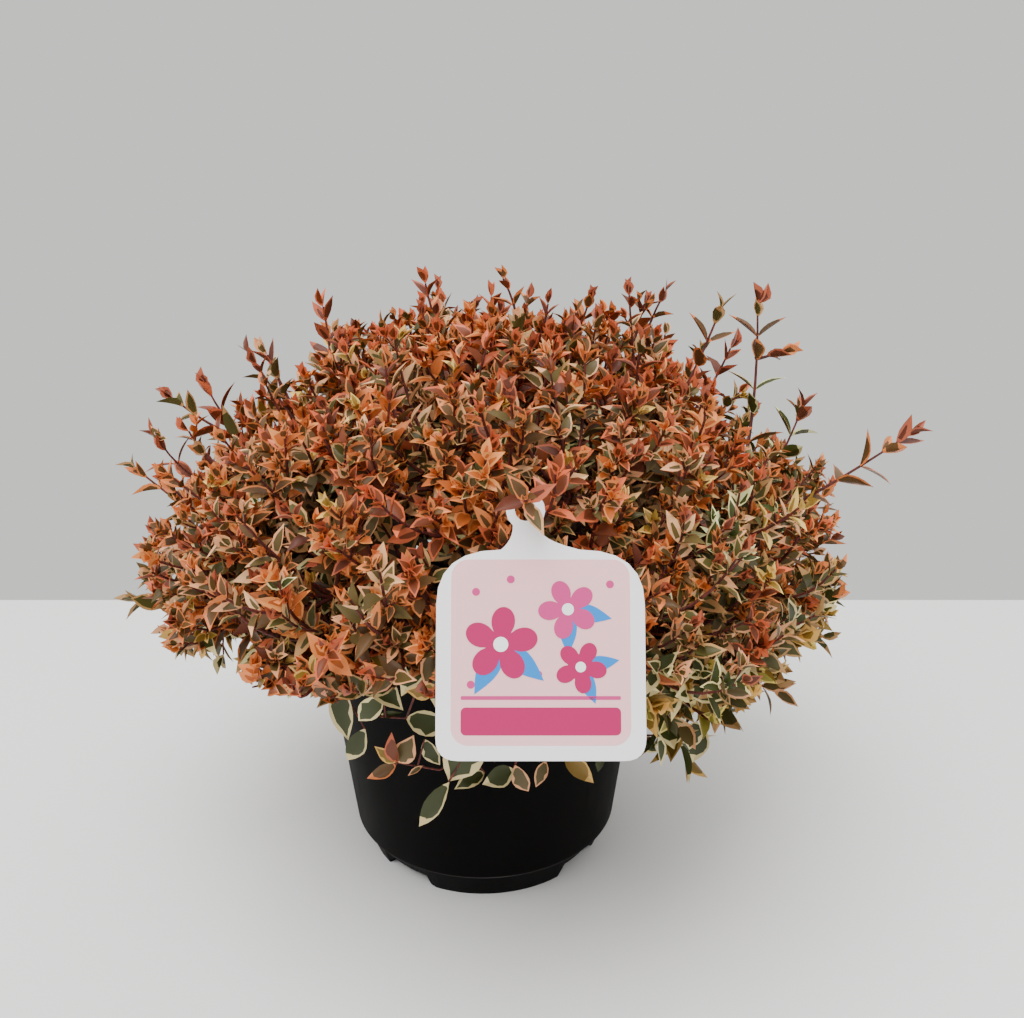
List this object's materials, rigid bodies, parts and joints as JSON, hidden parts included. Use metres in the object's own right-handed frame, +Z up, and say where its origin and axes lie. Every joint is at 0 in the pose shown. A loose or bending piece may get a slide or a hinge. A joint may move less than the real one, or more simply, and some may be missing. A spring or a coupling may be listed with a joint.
{
  "type": "potted glossy abelia",
  "caption": "Low, dense, variegated glossy abelia shrub in a black 3-litre nursery pot, with a plain pink-white hang tag.",
  "frame": {"origin": "under the middle of the pot, on the surface that it stands on", "axes": "+Z up, -Y the front with the label, +X to the right seen from the front"},
  "size_m": [0.4351, 0.4056, 0.3449],
  "materials": {
    "pot_plastic": "matte black",
    "soil": "rough",
    "bark": "rough",
    "foliage": "satin",
    "label_card": "satin"
  },
  "bodies": {
    "root": {"nursery_pot": "pot_plastic", "potting_soil": "soil", "main_stem": "bark", "bough_top": "bark", "bough_upper_1": "bark", "bough_upper_2": "bark", "bough_upper_3": "bark", "bough_upper_4": "bark", "bough_upper_5": "bark", "bough_middle_1": "bark", "bough_middle_2": "bark", "bough_middle_3": "bark", "bough_middle_4": "bark", "bough_middle_5": "bark", "bough_middle_6": "bark", "bough_middle_7": "bark", "bough_middle_8": "bark", "bough_skirt_1": "bark", "bough_skirt_2": "bark", "bough_skirt_3": "bark", "bough_skirt_4": "bark", "bough_skirt_5": "bark", "bough_skirt_6": "bark", "bough_skirt_7": "bark", "foliage_top": "foliage", "foliage_upper_1": "foliage", "foliage_upper_2": "foliage", "foliage_upper_3": "foliage", "foliage_upper_4": "foliage", "foliage_upper_5": "foliage", "foliage_middle_1": "foliage", "foliage_middle_2": "foliage", "foliage_middle_3": "foliage", "foliage_middle_4": "foliage", "foliage_middle_5": "foliage", "foliage_middle_6": "foliage", "foliage_middle_7": "foliage", "foliage_middle_8": "foliage", "foliage_skirt_1": "foliage", "foliage_skirt_2": "foliage", "foliage_skirt_3": "foliage", "foliage_skirt_4": "foliage", "foliage_skirt_5": "foliage", "foliage_skirt_6": "foliage", "foliage_skirt_7": "foliage", "hanging_label": "label_card"}
  },
  "joints": []
}
